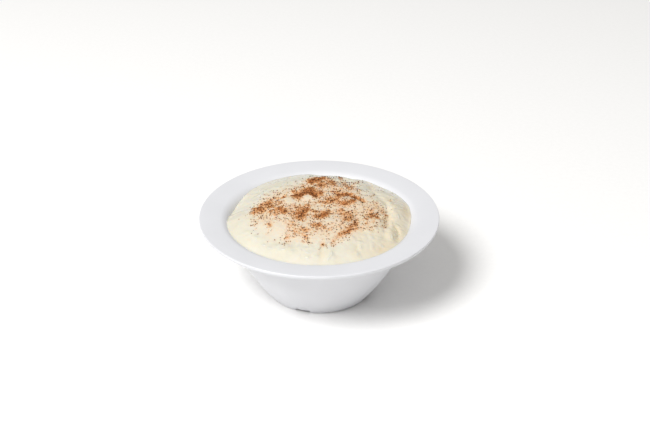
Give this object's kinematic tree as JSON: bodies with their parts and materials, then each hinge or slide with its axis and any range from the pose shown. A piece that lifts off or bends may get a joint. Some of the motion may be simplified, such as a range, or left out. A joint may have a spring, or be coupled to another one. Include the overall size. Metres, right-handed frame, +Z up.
{
  "type": "bowl of rice pudding",
  "caption": "White wide-rimmed bowl on a notched foot ring, filled with heaped creamy rice pudding dusted with cinnamon.",
  "frame": {"origin": "centre of the foot ring, on the plane that it stands on", "axes": "+Z up along the bowl's axis; -Y is the front, the side the viewer faces; +X to the viewer's right"},
  "size_m": [0.15, 0.15, 0.0579],
  "materials": {
    "bowl": "smooth white moulded tableware, softly glossy",
    "pudding": "moist cream, semi-gloss, slightly translucent",
    "rice": "soft cooked grain, moist and translucent",
    "cinnamon": "dry ground powder, matt"
  },
  "bodies": {
    "root": {"bowl": "bowl", "pudding": "pudding"}
  },
  "joints": []
}
